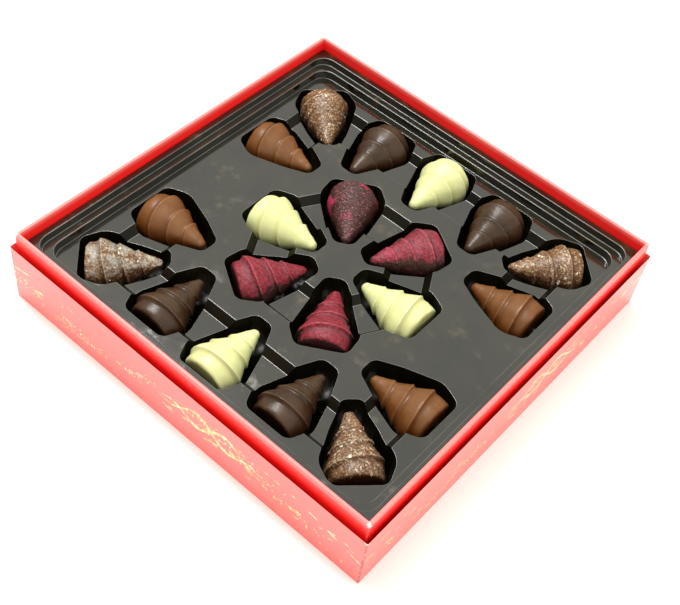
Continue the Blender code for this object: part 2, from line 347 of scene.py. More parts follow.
# The print on the walls: fine gold specks that drift along a wave, a loose gold braid, and thin
# broken threads. A wave is its length, phase, height and middle, in metres.
GOLD, PALE_GOLD = (0.88, 0.42, 0.09), (0.95, 0.80, 0.42)
SPECK_WAVE, BRAID_WAVE = (0.170, 0.9, 0.0062, 0.0165), (0.170, 0.9, 0.0062, 0.0145)
THREAD_WAVES = (
    (0.110, 2.1, 0.0052, 0.0150), (0.083, 0.4, 0.0044, 0.0175),
    (0.061, 4.0, 0.0036, 0.0135), (0.140, 5.2, 0.0060, 0.0190),
)
PRINT_DEPTH = 0.0002
SPECK_SCALE = 760.0
SPECK_DRIFT, SPECK_SIZE = (0.0064, 0.0004), (0.44, 0.30)
SPECK_SHARE = 0.80
BRAID_MIDDLE, BRAID_TURN, BRAID_SWING, BRAID_TAPER = 0.022, 0.038, 0.0052, (0.040, 0.006)
THREAD_WIDTH = 0.00030
# A pattern of spots is its scale, detail and roughness, and the levels that it fades between
SPECK_CLUSTERS = (48.0, 3.0, 0.6, 0.40, 0.60)
RUBBED_BRAID = (700.0, 3.0, 0.7, 0.38, 0.48)
BROKEN_THREAD = (150.0, 3.0, 0.6, 0.53, 0.59)
GOLD_TONES = (420.0, 2.0, 0.5, 0.42, 0.58)

axes = split_axes(tree, place)
on_y_wall, on_x_wall = (
    math_node(tree, "GREATER_THAN", size_of(tree, axes[across]), BOX_HALF - PRINT_DEPTH)
    for across in ("Y", "X")
)
along_wall = math_node(tree, "ADD", times(tree, axes["X"], on_y_wall), times(tree, axes["Y"], on_x_wall))
wall = math_node(tree, "MAXIMUM", on_y_wall, on_x_wall)


def wave(length, phase, height, middle):
    swing = math_node(tree, "SINE", math_node(tree, "MULTIPLY_ADD", along_wall, 2 * math.pi / length, phase))
    return math_node(tree, "MULTIPLY_ADD", swing, height, middle)


def away(line):
    return size_of(tree, math_node(tree, "SUBTRACT", axes["Z"], line))


specks = node(tree, "ShaderNodeTexVoronoi", Scale=SPECK_SCALE)
tree.links.new(place, specks.inputs["Vector"])
drift = ramp(tree, away(wave(*SPECK_WAVE)), *SPECK_DRIFT)
chance = times(tree, spots(tree, place, *SPECK_CLUSTERS), drift)
lot_of_speck = node(tree, "ShaderNodeSeparateColor")
tree.links.new(specks.outputs["Color"], lot_of_speck.inputs["Color"])
chosen = math_node(tree, "LESS_THAN", lot_of_speck.outputs["Red"], times(tree, chance, SPECK_SHARE))
speck = times(tree, chosen, ramp(tree, specks.outputs["Distance"], *SPECK_SIZE))

from_middle = math_node(tree, "SUBTRACT", along_wall, BRAID_MIDDLE)
taper = ramp(tree, size_of(tree, from_middle), *BRAID_TAPER)
turning = math_node(tree, "SINE", times(tree, from_middle, 2 * math.pi / BRAID_TURN))
strand_gap = times(tree, times(tree, turning, BRAID_SWING), taper)
spine = wave(*BRAID_WAVE)
strand_width = math_node(tree, "MULTIPLY_ADD", taper, 0.00105, -0.0001)
strands = [
    math_node(tree, "LESS_THAN", away(math_node(tree, side, spine, strand_gap)), strand_width)
    for side in ("ADD", "SUBTRACT")
]
braid = times(tree, math_node(tree, "MAXIMUM", *strands), spots(tree, place, *RUBBED_BRAID))
broken = spots(tree, place, *BROKEN_THREAD)
for thread_wave in THREAD_WAVES:
    thread_line = math_node(tree, "LESS_THAN", away(wave(*thread_wave)), THREAD_WIDTH)
    braid = math_node(tree, "MAXIMUM", braid, times(tree, thread_line, broken))
print_mask = math_node(tree, "MULTIPLY", wall, math_node(tree, "MAXIMUM", speck, braid), clamp=True)
gold = mix_colour(tree, spots(tree, place, *GOLD_TONES), GOLD, PALE_GOLD)
tree.links.new(mix_colour(tree, print_mask, coral, gold), wrap_shader.inputs["Base Color"])
tree.links.new(times(tree, print_mask, 0.20), wrap_shader.inputs["Metallic"])
bump(tree, wrap_shader, paper["Tooth"], 0.10, 0.0001)
dress(base, coral_wrap, "red_wrap", "box_base")


# The collar is a taller frame of the same board inside the base, wrapped in a brighter red paper.
# It is glued in, and a thin dark gap shows between its foot and the rim of the base.
GLUE_GAP = 0.0003
COLLAR_HALF = BOX_HALF - BASE_BOARD - GLUE_GAP
COLLAR_FOOT = BASE_BOARD + GLUE_GAP
COLLAR_TOP = 0.0432
COLLAR_BOARD = 0.0018
RED, BRIGHT_RED, RED_RIM_HIGHLIGHT = (0.86, 0.010, 0.008), (0.92, 0.014, 0.011), (0.90, 0.165, 0.150)
RED_RIM_HIGHLIGHT_FADE = (0.0034, 0.0004)

collar = new_cube(
    "inner_collar", (-COLLAR_HALF, -COLLAR_HALF, COLLAR_FOOT), (COLLAR_HALF, COLLAR_HALF, COLLAR_TOP)
)
shape_by(collar, "FACE")
pick("FACE", lambda middle, normal: abs(normal.z) > LEVEL)
bpy.ops.mesh.delete(type="FACE")
done_shaping()
board = collar.modifiers.new("board", "SOLIDIFY")
board.thickness = COLLAR_BOARD
board.offset = -1.0
board.use_even_offset = True
finish_modifiers(collar)
round_paper_edges(collar)

collar_wrap, collar_shader = new_material(
    "collar_wrap", 0.42, Specular_IOR_Level=0.22, Coat_Weight=0.20, Coat_Roughness=0.30
)
tree = collar_wrap.node_tree
place = object_place(tree)
paper = use_group(tree, wrap_paper, Place=place, Cloud_scale=16.0)
wear = use_group(tree, worn_board, Place=place, Half=COLLAR_HALF, Top=COLLAR_TOP)
red = mix_colour(tree, paper["Cloud"], RED, BRIGHT_RED)
# Painted highlight: the paper is paler towards the top edge of the collar
red = mix_colour(tree, ramp(tree, wear["Below top"], *RED_RIM_HIGHLIGHT_FADE), red, RED_RIM_HIGHLIGHT)
red = mix_colour(tree, wear["Worn"], red, BARE_BOARD)
tree.links.new(red, collar_shader.inputs["Base Color"])
bump(tree, collar_shader, paper["Tooth"], 0.08, 0.0001)
dress(collar, collar_wrap, "collar_red", "box_collar")


# The tray is one thin sheet of glossy dark brown plastic, drawn over a mould. Its rim steps down
# twice to a flat plateau, and low saddles join the neighbouring pockets that are sunk into it.
SHEET = 0.0005
TRAY_HALF = 0.1032
TRAY_FOOT = 0.0022
FLANGE_Z = 0.0365
TREAD_Z = 0.0325
PLATEAU_Z = 0.0280
TREAD_HALF = 0.0996
PLATEAU_HALF = 0.0955
RIM_CORNER = 0.0075
RIM_CORNER_STEPS = 8
DRAFT = math.tan(math.radians(4.0))
LEDGE_Z = 0.0125
SUMP_Z = 0.0063
SADDLE_Z = 0.0240
ABOVE = 0.0005
# Places within a hair are the same place, and an edge that climbs more than UPRIGHT_RUN is upright
HAIR = 1e-5
UPRIGHT_RUN = 1e-3


def on_floor(x, y, heading):
    return Matrix.Translation((x, y, 0.0)) @ Matrix.Rotation(heading, 4, "Z")


# Each pocket's praline, and its frame: origin mid outer edge, X towards the praline's tip
ROW_EDGE, MIDDLE_EDGE, ROW_STEP = 0.0912, 0.0940, 0.0377
CORNER_EDGE, RING_EDGE, RING_ANGLE = 0.1218, 0.0538, math.radians(58.0)
QUARTER_TURN = math.pi / 2
pockets = []
for side in (1, -1):
    for across in (-ROW_STEP, ROW_STEP):
        pockets.append(("dark", on_floor(across, side * ROW_EDGE, -QUARTER_TURN * side)))
    pockets.append(("white", on_floor(0.0, side * MIDDLE_EDGE, -QUARTER_TURN * side)))
    for along in (-ROW_STEP, ROW_STEP):
        pockets.append(("milk", on_floor(side * ROW_EDGE, along, 0.0 if side < 0 else math.pi)))
for quarter in range(4):
    angle = math.pi / 4 + quarter * QUARTER_TURN
    x, y = CORNER_EDGE * math.cos(angle), CORNER_EDGE * math.sin(angle)
    pockets.append(("speckled", on_floor(x, y, angle + math.pi)))
for half_turn in (0.0, math.pi):
    for kind, turn in (("white", 0.0), ("raspberry", RING_ANGLE), ("raspberry", -RING_ANGLE)):
        angle = half_turn + turn
        x, y = RING_EDGE * math.cos(angle), RING_EDGE * math.sin(angle)
        pockets.append((kind, on_floor(x, y, angle + math.pi)))


def drafted(piece, level, floor_z):
    """Cut a level into the piece and draw its sides in below it, as a mould's sides are."""
    bpy.ops.mesh.select_all(action="SELECT")
    bpy.ops.mesh.bisect(plane_co=(0.0, 0.0, level), plane_no=(0.0, 0.0, 1.0))
    points = [v.co.copy() for v in bmesh.from_edit_mesh(piece.data).verts]
    centre = [(max(p[i] for p in points) + min(p[i] for p in points)) / 2 for i in range(3)]
    inset = (level - floor_z) * DRAFT
    shrink = [1 - 2 * inset / (max(p[i] for p in points) - min(p[i] for p in points)) for i in range(2)]
    pick("VERT", lambda p: p.z < floor_z + HAIR)
    bpy.ops.transform.resize(value=(*shrink, 1.0), center_override=centre)


def round_uprights(along, reach):
    """Round the upright edges at one distance from the pocket's outer edge."""
    pick("EDGE", lambda middle, run: abs(middle.x - along) < HAIR and abs(run.z) > UPRIGHT_RUN)
    bpy.ops.mesh.bevel(offset=reach, segments=POCKET_CORNER_STEPS, affect="EDGES")


def hollow(name, low, high, widths, corners):
    """The solid that sinks one pocket: a block drawn to its widths, with rounded corners."""
    length = widths[-1][0]
    widest = max(half for _, half in widths)
    piece = new_cube(name, (0.0, -widest, low), (length, widest, high))
    shape_by(piece, "EDGE")
    for along, _ in widths[1:-1]:
        bpy.ops.mesh.select_all(action="SELECT")
        bpy.ops.mesh.bisect(plane_co=(along, 0.0, 0.0), plane_no=(1.0, 0.0, 0.0))
    for along, half in widths:
        pick("VERT", lambda p: abs(p.x - along) < HAIR)
        bpy.ops.transform.resize(value=(1.0, half / widest, 1.0), center_override=(along, 0.0, 0.0))
    for along, reach in corners:
        round_uprights(along, reach)
    drafted(piece, min(PLATEAU_Z, high - 1e-4), low)
    done_shaping()
    return piece


def copy_into(piece, name, place, collection):
    """A copy with its own mesh, moved to its place in the mesh."""
    twin = piece.copy()
    twin.data = piece.data.copy()
    twin.name = twin.data.name = name
    twin.data.transform(place)
    collection.objects.link(twin)
    return twin


# The well holds the praline, and the sump is the deeper part under its wide end. Each pair is a
# distance from the pocket's outer edge, and the half-width or the corner's rounding there.
WELL_WIDTHS = ((0.0, 0.0122), (0.0115, 0.0170), (0.0300, 0.0107), (0.0425, 0.0048))
WELL_CORNERS = ((0.0, 0.0030), (0.0115, 0.0034), (0.0300, 0.0016), (0.0425, 0.0028))
SUMP_WIDTHS = ((0.0, 0.0110), (0.0115, 0.0156), (0.0275, 0.0104))
SUMP_CORNERS = ((0.0, 0.0020), (0.0115, 0.0019), (0.0275, 0.0016))
SUMP_SHIFT, SUMP_OVERLAP = 0.0011, 0.0005
POCKET_CORNER_STEPS = 5
cutters = bpy.data.collections.new("tray_hollows")
bpy.context.scene.collection.children.link(cutters)
well = hollow("well", LEDGE_Z, PLATEAU_Z + ABOVE, WELL_WIDTHS, WELL_CORNERS)
sump = hollow("sump", SUMP_Z, LEDGE_Z + SUMP_OVERLAP, SUMP_WIDTHS, SUMP_CORNERS)
sump.data.transform(Matrix.Translation((SUMP_SHIFT, 0.0, 0.0)))
for i, (_, where) in enumerate(pockets):
    copy_into(well, f"well_{i}", where, cutters)
    copy_into(sump, f"sump_{i}", where, cutters)

# A saddle is a shallow trough with flared sides. It is made a metre long, then scaled to its reach.
SADDLE_HALF, SADDLE_FLARE = 0.0080, 0.0035 * 1.125
OUTER_SADDLES, RING_SADDLES = 0.0724, 0.0330
ROW_SADDLE, ROW_SADDLE_REACH = 0.0185, 0.0105
CORNER_SADDLE, CORNER_SADDLE_REACH = 0.0550, 0.0090
RING_SADDLE_REACH = 0.0080
NARROW = RING_ANGLE / 2
trough = new_cube("trough", (-SADDLE_HALF, -0.5, SADDLE_Z), (SADDLE_HALF, 0.5, PLATEAU_Z + ABOVE))
shape_by(trough, "FACE")
pick("FACE", lambda middle, normal: normal.z > LEVEL)
flare = (SADDLE_HALF + SADDLE_FLARE) / SADDLE_HALF
bpy.ops.transform.resize(value=(flare, 1.0, 1.0), center_override=(0.0, 0.0, 0.0))
done_shaping()
saddles = []
for side in (1, -1):
    for across in (-1, 1):
        row, corner = across * ROW_SADDLE, across * CORNER_SADDLE
        saddles.append((on_floor(row, side * OUTER_SADDLES, QUARTER_TURN), ROW_SADDLE_REACH))
        saddles.append((on_floor(corner, side * OUTER_SADDLES, QUARTER_TURN), CORNER_SADDLE_REACH))
        saddles.append((on_floor(side * OUTER_SADDLES, corner, 0.0), CORNER_SADDLE_REACH))
for angle in (NARROW, QUARTER_TURN, math.pi - NARROW, math.pi + NARROW, -QUARTER_TURN, -NARROW):
    x, y = RING_SADDLES * math.cos(angle), RING_SADDLES * math.sin(angle)
    saddles.append((on_floor(x, y, angle), RING_SADDLE_REACH))
for i, (where, reach) in enumerate(saddles):
    copy_into(trough, f"saddle_{i}", where @ Matrix.Diagonal((1.0, 2 * reach, 1.0, 1.0)), cutters)


def rim_step(name, half, low, high):
    """One step of the rim: a block with round upright corners and drafted sides."""
    piece = new_cube(name, (-half, -half, low), (half, half, high))
    shape_by(piece, "EDGE")
    pick("EDGE", lambda middle, run: abs(run.z) > UPRIGHT_RUN)
    bpy.ops.mesh.bevel(offset=RIM_CORNER, segments=RIM_CORNER_STEPS, affect="EDGES")
    pick("VERT", lambda p: p.z > high - HAIR)
    wider = 1 + (high - low) * DRAFT / half
    bpy.ops.transform.resize(value=(wider, wider, 1.0), center_override=(0.0, 0.0, 0.0))
    done_shaping()
    return piece


for piece in (
    rim_step("upper_step", TREAD_HALF, TREAD_Z, FLANGE_Z + ABOVE),
    rim_step("lower_step", PLATEAU_HALF, PLATEAU_Z, TREAD_Z + ABOVE),
):
    copy_into(piece, piece.name + "_hollow", Matrix.Identity(4), cutters)
    bpy.data.objects.remove(piece)
for piece in (well, sump, trough):
    bpy.data.objects.remove(piece)

tray = new_cube("moulded_tray", (-TRAY_HALF, -TRAY_HALF, TRAY_FOOT), (TRAY_HALF, TRAY_HALF, FLANGE_Z))
sink = tray.modifiers.new("hollows", "BOOLEAN")
sink.operation = "DIFFERENCE"
sink.operand_type = "COLLECTION"
sink.collection = cutters
finish_modifiers(tray)
for cutter in list(cutters.objects):
    bpy.data.objects.remove(cutter)
bpy.data.collections.remove(cutters)


def put_in_order(piece):
    """Rebuild a mesh with its points and faces in order of place, so each run merges them alike."""
    points = [tuple(vert.co) for vert in piece.data.vertices]
    ranked = sorted(range(len(points)), key=lambda i: points[i])
    rank = {old: new for new, old in enumerate(ranked)}
    faces = []
    for face in piece.data.polygons:
        corners = [rank[i] for i in face.vertices]
        lowest = corners.index(min(corners))
        faces.append(corners[lowest:] + corners[:lowest])
    piece.data.clear_geometry()
    piece.data.from_pydata([points[i] for i in ranked], [], sorted(faces))
    piece.data.update()


# The boolean leaves the same shape each time, but its points in another order
put_in_order(tray)
shape_by(tray, "FACE")
bpy.ops.mesh.select_all(action="SELECT")
bpy.ops.mesh.remove_doubles(threshold=0.0002)
pick("FACE", lambda middle, normal: normal.z < -LEVEL and middle.z < TRAY_FOOT + HAIR)
bpy.ops.mesh.delete(type="FACE")

# Every sharp edge from the saddles up is drawn round, the rim's edges more than the pockets'. The
# ledges deep in the pockets stay as cut.
EDGE_WIDTH = 0.00048
EDGE_STEPS = 3
POCKET_EDGE, RIM_EDGE = 0.40, 0.75
SHARP = math.radians(25.0)
INSIDE_RIM = PLATEAU_HALF - 0.0010
bpy.ops.mesh.select_mode(type="EDGE")
bpy.ops.mesh.select_all(action="DESELECT")
bpy.ops.mesh.edges_select_sharp(sharpness=SHARP)
drawn = bmesh.from_edit_mesh(tray.data)
for edge in drawn.edges:
    if max(vert.co.z for vert in edge.verts) < SADDLE_Z - 0.0001:
        edge.select_set(False)
bmesh.update_edit_mesh(tray.data)
bpy.ops.transform.edge_bevelweight(value=POCKET_EDGE)
for edge in drawn.edges:
    if max(abs(along) for along in edge.verts[0].co.xy) < INSIDE_RIM:
        edge.select_set(False)
bmesh.update_edit_mesh(tray.data)
bpy.ops.transform.edge_bevelweight(value=RIM_EDGE - POCKET_EDGE)
done_shaping()
brown_plastic, plastic_shader = new_material("brown_plastic", 0.09, Specular_IOR_Level=1.0)
BEND = 1
tray.data.materials.append(brown_plastic)
tray.data.materials.append(brown_plastic)
bend = tray.modifiers.new("drawn_edges", "BEVEL")
bend.material = BEND
bend.width = EDGE_WIDTH
bend.segments = EDGE_STEPS
bend.limit_method = "WEIGHT"
bend.use_clamp_overlap = False
sheet = tray.modifiers.new("sheet", "SOLIDIFY")
sheet.thickness = SHEET
sheet.offset = -1.0
finish_modifiers(tray)
shade_with_flat_faces(tray)

# The faces that the bevel made are marked as bends, where a highlight is painted on the plastic
bent = tray.data.attributes.new("bent", "FLOAT", "FACE")
for face in tray.data.polygons:
    bent.data[face.index].value = float(face.material_index)
    face.material_index = 0

# The film on the plastic: a slow drift of tone, faint smudges of cocoa dust, and a slight ripple
SMUDGES = (70.0, 5.0, 0.65, 0.54, 0.74)
plastic_film, given, result = new_group(
    "plastic_film", (("Place", VECTOR),), ("Cloud", "Dust", "Ripple")
)
plastic_film.links.new(noise(plastic_film, given["Place"], 38.0, 4.0, 0.6), result["Cloud"])
plastic_film.links.new(spots(plastic_film, given["Place"], *SMUDGES), result["Dust"])
plastic_film.links.new(noise(plastic_film, given["Place"], 70.0, 2.0), result["Ripple"])
RIPPLE, RIPPLE_HEIGHT = 0.10, 0.0006
CLOUD_FADE = (0.35, 0.7)

BROWN, PALE_BROWN = (0.0050, 0.0046, 0.0018), (0.0100, 0.0088, 0.0034)
COCOA, BEND_HIGHLIGHT = (0.060, 0.042, 0.016), (0.046, 0.045, 0.040)
tree = brown_plastic.node_tree
place = object_place(tree)
film = use_group(tree, plastic_film, Place=place)
bends = node(tree, "ShaderNodeAttribute", attribute_name="bent").outputs["Fac"]
brown = mix_colour(tree, ramp(tree, film["Cloud"], *CLOUD_FADE), BROWN, PALE_BROWN)
brown = tint(tree, brown, film["Dust"], 0.5, COCOA)
# Painted highlight along the bends, broken up by the drift of tone
brown = tint(tree, brown, bends, ramp(tree, film["Cloud"], 0.30, 0.62), BEND_HIGHLIGHT)
tree.links.new(brown, plastic_shader.inputs["Base Color"])
clean = math_node(tree, "MULTIPLY_ADD", film["Cloud"], 0.05, 0.065)
matt = math_node(tree, "MULTIPLY_ADD", film["Dust"], 0.16, clean)
tree.links.new(math_node(tree, "MULTIPLY_ADD", bends, 0.20, matt), plastic_shader.inputs["Roughness"])

# Two plain raised rings are moulded in the plateau on each side
RING_AT = 0.0750
RING_RADII = (0.0080, 0.0066)
RING_WIDTH = 0.00045
axes = split_axes(tree, place)
ring_x = math_node(tree, "SUBTRACT", size_of(tree, axes["X"]), RING_AT)
squares = math_node(tree, "ADD", times(tree, ring_x, ring_x), times(tree, axes["Y"], axes["Y"]))
from_ring = math_node(tree, "SQRT", squares)
ridges = [
    ramp(tree, size_of(tree, math_node(tree, "SUBTRACT", from_ring, radius)), RING_WIDTH, 0.0)
    for radius in RING_RADII
]
ripple = bump(tree, plastic_shader, film["Ripple"], RIPPLE, RIPPLE_HEIGHT)
bump(tree, plastic_shader, math_node(tree, "MAXIMUM", *ridges), 0.12, 0.0003, ripple)
dress(tray, brown_plastic, "brown_plastic", "tray")

# Painted shade: deep in the pockets and on the sides of the saddles the plastic is painted a darker
# brown, and its gloss is turned down
SHADED_POCKET_BROWN, PALE_SHADED_POCKET = (0.0030, 0.0026, 0.0012), (0.0064, 0.0052, 0.0022)
POCKET_DUST = (0.030, 0.020, 0.008)
POCKET_TOP, SADDLE_SIDE_TOP = SADDLE_Z - 0.0015, PLATEAU_Z - 0.0010
STEEP = 0.8
shaded_pocket_plastic, pocket_shader = new_material("shaded_pocket_plastic", 0.3, Specular_IOR_Level=0.10)
tree = shaded_pocket_plastic.node_tree
film = use_group(tree, plastic_film, Place=object_place(tree))
brown = mix_colour(tree, ramp(tree, film["Cloud"], *CLOUD_FADE), SHADED_POCKET_BROWN, PALE_SHADED_POCKET)
brown = tint(tree, brown, film["Dust"], 0.3, POCKET_DUST)
tree.links.new(brown, pocket_shader.inputs["Base Color"])
tree.links.new(math_node(tree, "MULTIPLY_ADD", film["Dust"], 0.2, 0.25), pocket_shader.inputs["Roughness"])
bump(tree, pocket_shader, film["Ripple"], RIPPLE, RIPPLE_HEIGHT)
tray.data.materials.append(shaded_pocket_plastic)
for face in tray.data.polygons:
    deep = face.center.z < POCKET_TOP
    steep = abs(face.normal.z) < STEEP and max(abs(along) for along in face.center.xy) < INSIDE_RIM
    face.material_index = int(deep or steep and face.center.z < SADDLE_SIDE_TOP)


# Each praline is moulded in one piece: a blunt cone with a flat end and a spiral ridge that runs
# round it like a thread. Each whorl widens towards the flat end and stops there in a fine step.
LENGTH = 0.0350
END_RADIUS = 0.0121
BULGE_RADIUS = 0.0138
BULGE_AT = 0.0085
TIP_RADIUS = 0.0014
TIP_ROUND = 0.0023
FULLNESS = 0.0005
WHORLS = 4.3
WHORL_START = 0.62
PITCH_SHRINK = 0.22
RIDGE_DEPTH = 0.0013
RIDGE_FADE_END = 0.0045
RIDGE_FADE = 0.0080
END_WHORLS = 0.75
EDGE_ROUND = 0.0009
# The ridge's profile over one whorl: how far round the whorl, and how deep in the groove
RIDGE_ROWS = (
    (0.0, 0.0), (0.03, 0.03), (0.07, 0.13), (0.13, 0.25), (0.25, 0.40), (0.40, 0.54), (0.54, 0.68),
    (0.66, 0.82), (0.74, 0.94), (0.80, 1.0), (0.86, 0.91), (0.91, 0.64), (0.96, 0.24),
)
LIP = 0.16
ROD_RIDGE = 0.1
ROD_WHORLS = 8
TURN_STEPS = 44


def smooth_radius(along):
    """The praline's radius without its ridge, at a distance from its flat end."""
    if along < BULGE_AT:
        rest = 1.0 - along / BULGE_AT
        return BULGE_RADIUS - (BULGE_RADIUS - END_RADIUS) * rest ** 2
    rest = (along - BULGE_AT) / (LENGTH - BULGE_AT)
    cone = BULGE_RADIUS + (TIP_RADIUS - BULGE_RADIUS) * rest
    return cone + FULLNESS * math.sin(math.pi * rest)


def outline_at(turn):
    """Where a turn of the rod lies on the praline's outline: (along, radius, ridge depth)."""
    if turn < 0.0:
        part = min(-turn / END_WHORLS, 1.0)
        radius = (END_RADIUS - EDGE_ROUND) * (1.0 - part)
        return 0.0, radius, 0.0
    part = turn / WHORLS
    along = LENGTH * ((1.0 + PITCH_SHRINK) * part - PITCH_SHRINK * part ** 2)
    if along > LENGTH - TIP_ROUND:
        start = smooth_radius(LENGTH - TIP_ROUND)
        over = min((along - LENGTH + TIP_ROUND) / TIP_ROUND, 1.0)
        angle = over * math.pi / 2
        return LENGTH - TIP_ROUND + TIP_ROUND * math.sin(angle), start * math.cos(angle), 0.0
    radius = smooth_radius(along)
    if along < EDGE_ROUND:
        radius -= EDGE_ROUND - math.sqrt(EDGE_ROUND ** 2 - (EDGE_ROUND - along) ** 2)
    depth = RIDGE_DEPTH * min(max((LENGTH - along - RIDGE_FADE_END) / RIDGE_FADE, 0.0), 1.0)
    depth *= min(along / EDGE_ROUND, 1.0)
    return along, radius, depth


# The mould starts as a straight rod with a thread, which is then drawn to the praline's outline
bpy.ops.object.select_all(action="DESELECT")
bpy.ops.mesh.primitive_circle_add(vertices=len(RIDGE_ROWS) + 1, radius=1.0, fill_type="NOTHING")
mould = bpy.context.active_object
mould.name = mould.data.name = "praline_mould"
shape_by(mould, "VERT")
profile = bmesh.from_edit_mesh(mould.data)
rows = RIDGE_ROWS + ((1.0, 0.0),)
ring = sorted(profile.verts, key=lambda v: v.index)
for vert, (turn, fall) in zip(ring, reversed(rows)):
    vert.co = Vector((1.0 - ROD_RIDGE * fall, 0.0, turn))
closing = [edge for edge in profile.edges if {v.index for v in edge.verts} == {0, len(rows) - 1}]
bmesh.ops.delete(profile, geom=closing, context="EDGES")
bmesh.update_edit_mesh(mould.data)
done_shaping()
thread = mould.modifiers.new("thread", "SCREW")
thread.steps = TURN_STEPS
thread.render_steps = TURN_STEPS
thread.screw_offset = 1.0
thread.iterations = ROD_WHORLS
finish_modifiers(mould)
first_turn = 1.0 + WHORL_START
shape_by(mould, "VERT")
bpy.ops.mesh.select_all(action="SELECT")
bpy.ops.mesh.remove_doubles(threshold=1e-4)
for level, lower in ((first_turn - END_WHORLS, True), (first_turn + WHORLS, False)):
    bpy.ops.mesh.select_all(action="SELECT")
    bpy.ops.mesh.bisect(
        plane_co=(0.0, 0.0, level), plane_no=(0.0, 0.0, 1.0), clear_inner=lower, clear_outer=not lower
    )
done_shaping()
groove, crest, flat_end = (
    mould.data.attributes.new(name, "FLOAT", "POINT") for name in ("groove", "crest", "flat_end")
)
for vert in mould.data.vertices:
    spoke = Vector((vert.co.x, vert.co.y))
    fall = (1.0 - spoke.length) / ROD_RIDGE
    turn = vert.co.z - first_turn
    along, radius, depth = outline_at(turn)
    spoke = spoke.normalized() * (radius - depth * fall)
    groove.data[vert.index].value = fall * depth / RIDGE_DEPTH
    crest.data[vert.index].value = max(0.0, 1.0 - fall / LIP) * depth / RIDGE_DEPTH
    flat_end.data[vert.index].value = float(turn < 0.0)
    vert.co = Vector((spoke.x, spoke.y, along))
shape_by(mould, "VERT")
bpy.ops.mesh.select_all(action="SELECT")
bpy.ops.mesh.remove_doubles(threshold=2e-5)
bpy.ops.mesh.fill_holes(sides=0)
bpy.ops.mesh.normals_make_consistent(inside=False)
done_shaping()

LUMP_SIZE, GRAIN_SIZE = 0.009, 0.0016
LUMP_HEIGHT, GRAIN_HEIGHT = 0.0006, 0.0005
lumps = bpy.data.textures.new("lumps", "CLOUDS")
lumps.noise_scale = LUMP_SIZE
grain = bpy.data.textures.new("grain", "CLOUDS")
grain.noise_scale = GRAIN_SIZE
grain.noise_depth = 3

# Every praline lies on its side in its pocket, each a little shifted, turned, rolled and sized
INSET = 0.0036
AXIS_Z = 0.0203
AXIS_RISE = math.radians(5.5)
LIE_DOWN = Matrix.Rotation(math.pi / 2 - AXIS_RISE, 4, "Y")
SLIDE = 0.0005
YAW = math.radians(2.0)
ROLL = math.radians(20.0)
SIZE_SPREAD = 0.012
# How much of its own coating each praline wears. The rest are fully coated.
COVER = {"raspberry_1": 0.55, "raspberry_4": 0.0, "speckled_1": 0.0, "speckled_2": 0.0, "speckled_4": 0.15}
draw = random.Random(7)
pralines = {kind: [] for kind in ("dark", "white", "milk", "speckled", "raspberry")}
for kind, where in pockets:
    slide = INSET + draw.uniform(-SLIDE, SLIDE)
    shift = Matrix.Translation((slide, draw.uniform(-SLIDE, SLIDE), AXIS_Z))
    yaw = Matrix.Rotation(draw.uniform(-YAW, YAW), 4, "Z")
    roll = Matrix.Rotation(ROLL + draw.uniform(-YAW, YAW), 4, "Z")
    size = Matrix.Scale(1.0 + draw.uniform(-SIZE_SPREAD, SIZE_SPREAD), 4)
    lay = where @ shift @ yaw @ LIE_DOWN @ roll @ size
    number = len(pralines[kind]) + 1
    praline = copy_into(mould, f"{kind}_praline_{number}", lay, bpy.context.scene.collection)
    rounding = praline.modifiers.new("rounding", "SUBSURF")
    rounding.levels = rounding.render_levels = 1
    uneven = praline.modifiers.new("uneven", "DISPLACE")
    uneven.texture = lumps
    uneven.strength = LUMP_HEIGHT
    if kind in ("speckled", "raspberry"):
        rough = praline.modifiers.new("rough", "DISPLACE")
        rough.texture = grain
        rough.strength = GRAIN_HEIGHT
    finish_modifiers(praline)
    bpy.ops.object.shade_smooth()
    cover = praline.data.attributes.new("cover", "FLOAT", "POINT")
    for mark in cover.data:
        mark.value = COVER.get(f"{kind}_{number}", 1.0)
    pralines[kind].append(praline)
bpy.data.objects.remove(mould)

# Chocolate skin: a slow drift of tone, fine pores, and masks of the flat end, the side that faces up, the
# coating, the ridges' folds for painted shade and their crests for painted highlights, broken by the pores
chocolate_skin, given, result = new_group(
    "chocolate_skin", (("Place", VECTOR), ("Tone scale", FLOAT, 90.0), ("Pore scale", FLOAT, 900.0)),
    ("Tone", "Pores", "Groove shade", "Crest highlight", "End face", "Upper side", "Cover"),
)
tone = noise(chocolate_skin, given["Place"], given["Tone scale"], 4.0, 0.6)
pores = noise(chocolate_skin, given["Place"], given["Pore scale"], 4.0, 0.65)
fold_line, crest_line, end_face, coating = (
    node(chocolate_skin, "ShaderNodeAttribute", attribute_name=name).outputs["Fac"]
    for name in ("groove", "crest", "flat_end", "cover")
)
# The painted highlight on the crests is broken up by the pores
highlight_breaks = ramp(chocolate_skin, pores, 0.35, 0.60)
facing = split_axes(chocolate_skin, node(chocolate_skin, "ShaderNodeNewGeometry").outputs["Normal"])
for socket, label in (
    (ramp(chocolate_skin, tone, 0.32, 0.68), "Tone"),
    (pores, "Pores"),
    (ramp(chocolate_skin, fold_line, 0.70, 1.0), "Groove shade"),
    (times(chocolate_skin, ramp(chocolate_skin, crest_line, 0.1, 0.8), highlight_breaks), "Crest highlight"),
    (ramp(chocolate_skin, end_face, 0.2, 0.9), "End face"),
    (ramp(chocolate_skin, facing["Z"], 0.05, 0.80), "Upper side"),
    (coating, "Cover"),
):
    chocolate_skin.links.new(socket, result[label])


def chocolate(name, roughness, specular, tone_scale, pore_scale, **inputs):
    """A chocolate material with its skin group, ready to be coloured."""
    mat, shader = new_material(name, roughness, Specular_IOR_Level=specular, **inputs)
    place = object_place(mat.node_tree)
    skin = use_group(
        mat.node_tree, chocolate_skin, Place=place, Tone_scale=tone_scale, Pore_scale=pore_scale
    )
    return mat, mat.node_tree, shader, place, skin


